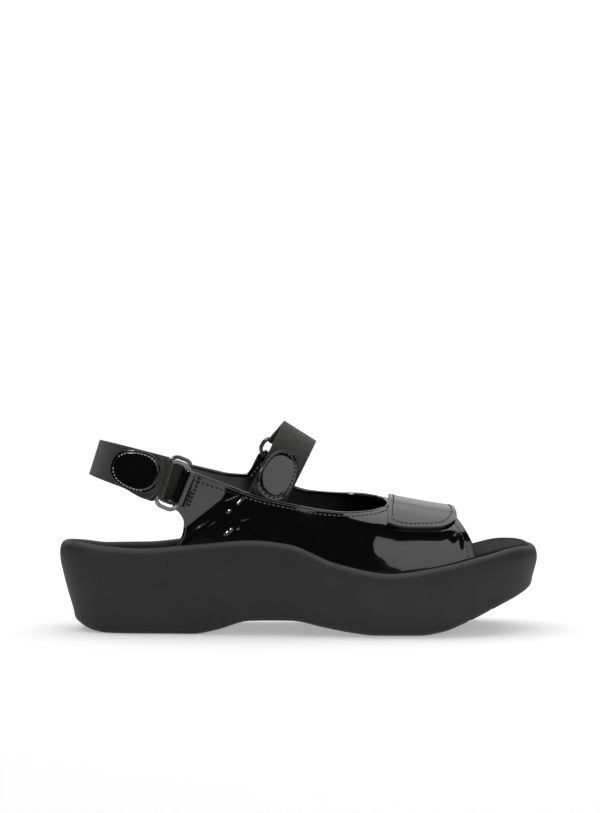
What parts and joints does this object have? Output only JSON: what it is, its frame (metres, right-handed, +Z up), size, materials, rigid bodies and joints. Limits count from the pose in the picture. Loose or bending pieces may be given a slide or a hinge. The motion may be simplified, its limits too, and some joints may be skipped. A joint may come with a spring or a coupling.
{
  "type": "sandal",
  "caption": "Open-toe sandal for the right foot with a moulded cushioned sole, a glossy black wrap upper and webbing straps at instep and heel that run through metal rings",
  "frame": {"origin": "under the middle of the shoe's box, on the floor plane that heel and forefoot stand on", "axes": "+X towards the toe, +Y towards the medial (inner) side, +Z up"},
  "size_m": [0.258, 0.0965, 0.1114],
  "materials": {
    "sole_foam": "matte dark grey moulded foam",
    "bed_cover": "matte near-black cloth-covered foam",
    "patent_leather": "glossy black lacquered leather",
    "webbing": "dark grey-brown ribbed webbing",
    "ring_metal": "grey bright wire"
  },
  "bodies": {
    "root": {"sole": "sole_foam", "footbed": "bed_cover", "upper": "patent_leather", "vamp_strap": "patent_leather", "instep_strap": "webbing", "heel_strap": "webbing", "instep_ring": "ring_metal", "heel_ring_lateral": "ring_metal", "heel_ring_medial": "ring_metal", "instep_tab_patch": "patent_leather", "heel_tab_patch": "patent_leather"}
  },
  "joints": []
}
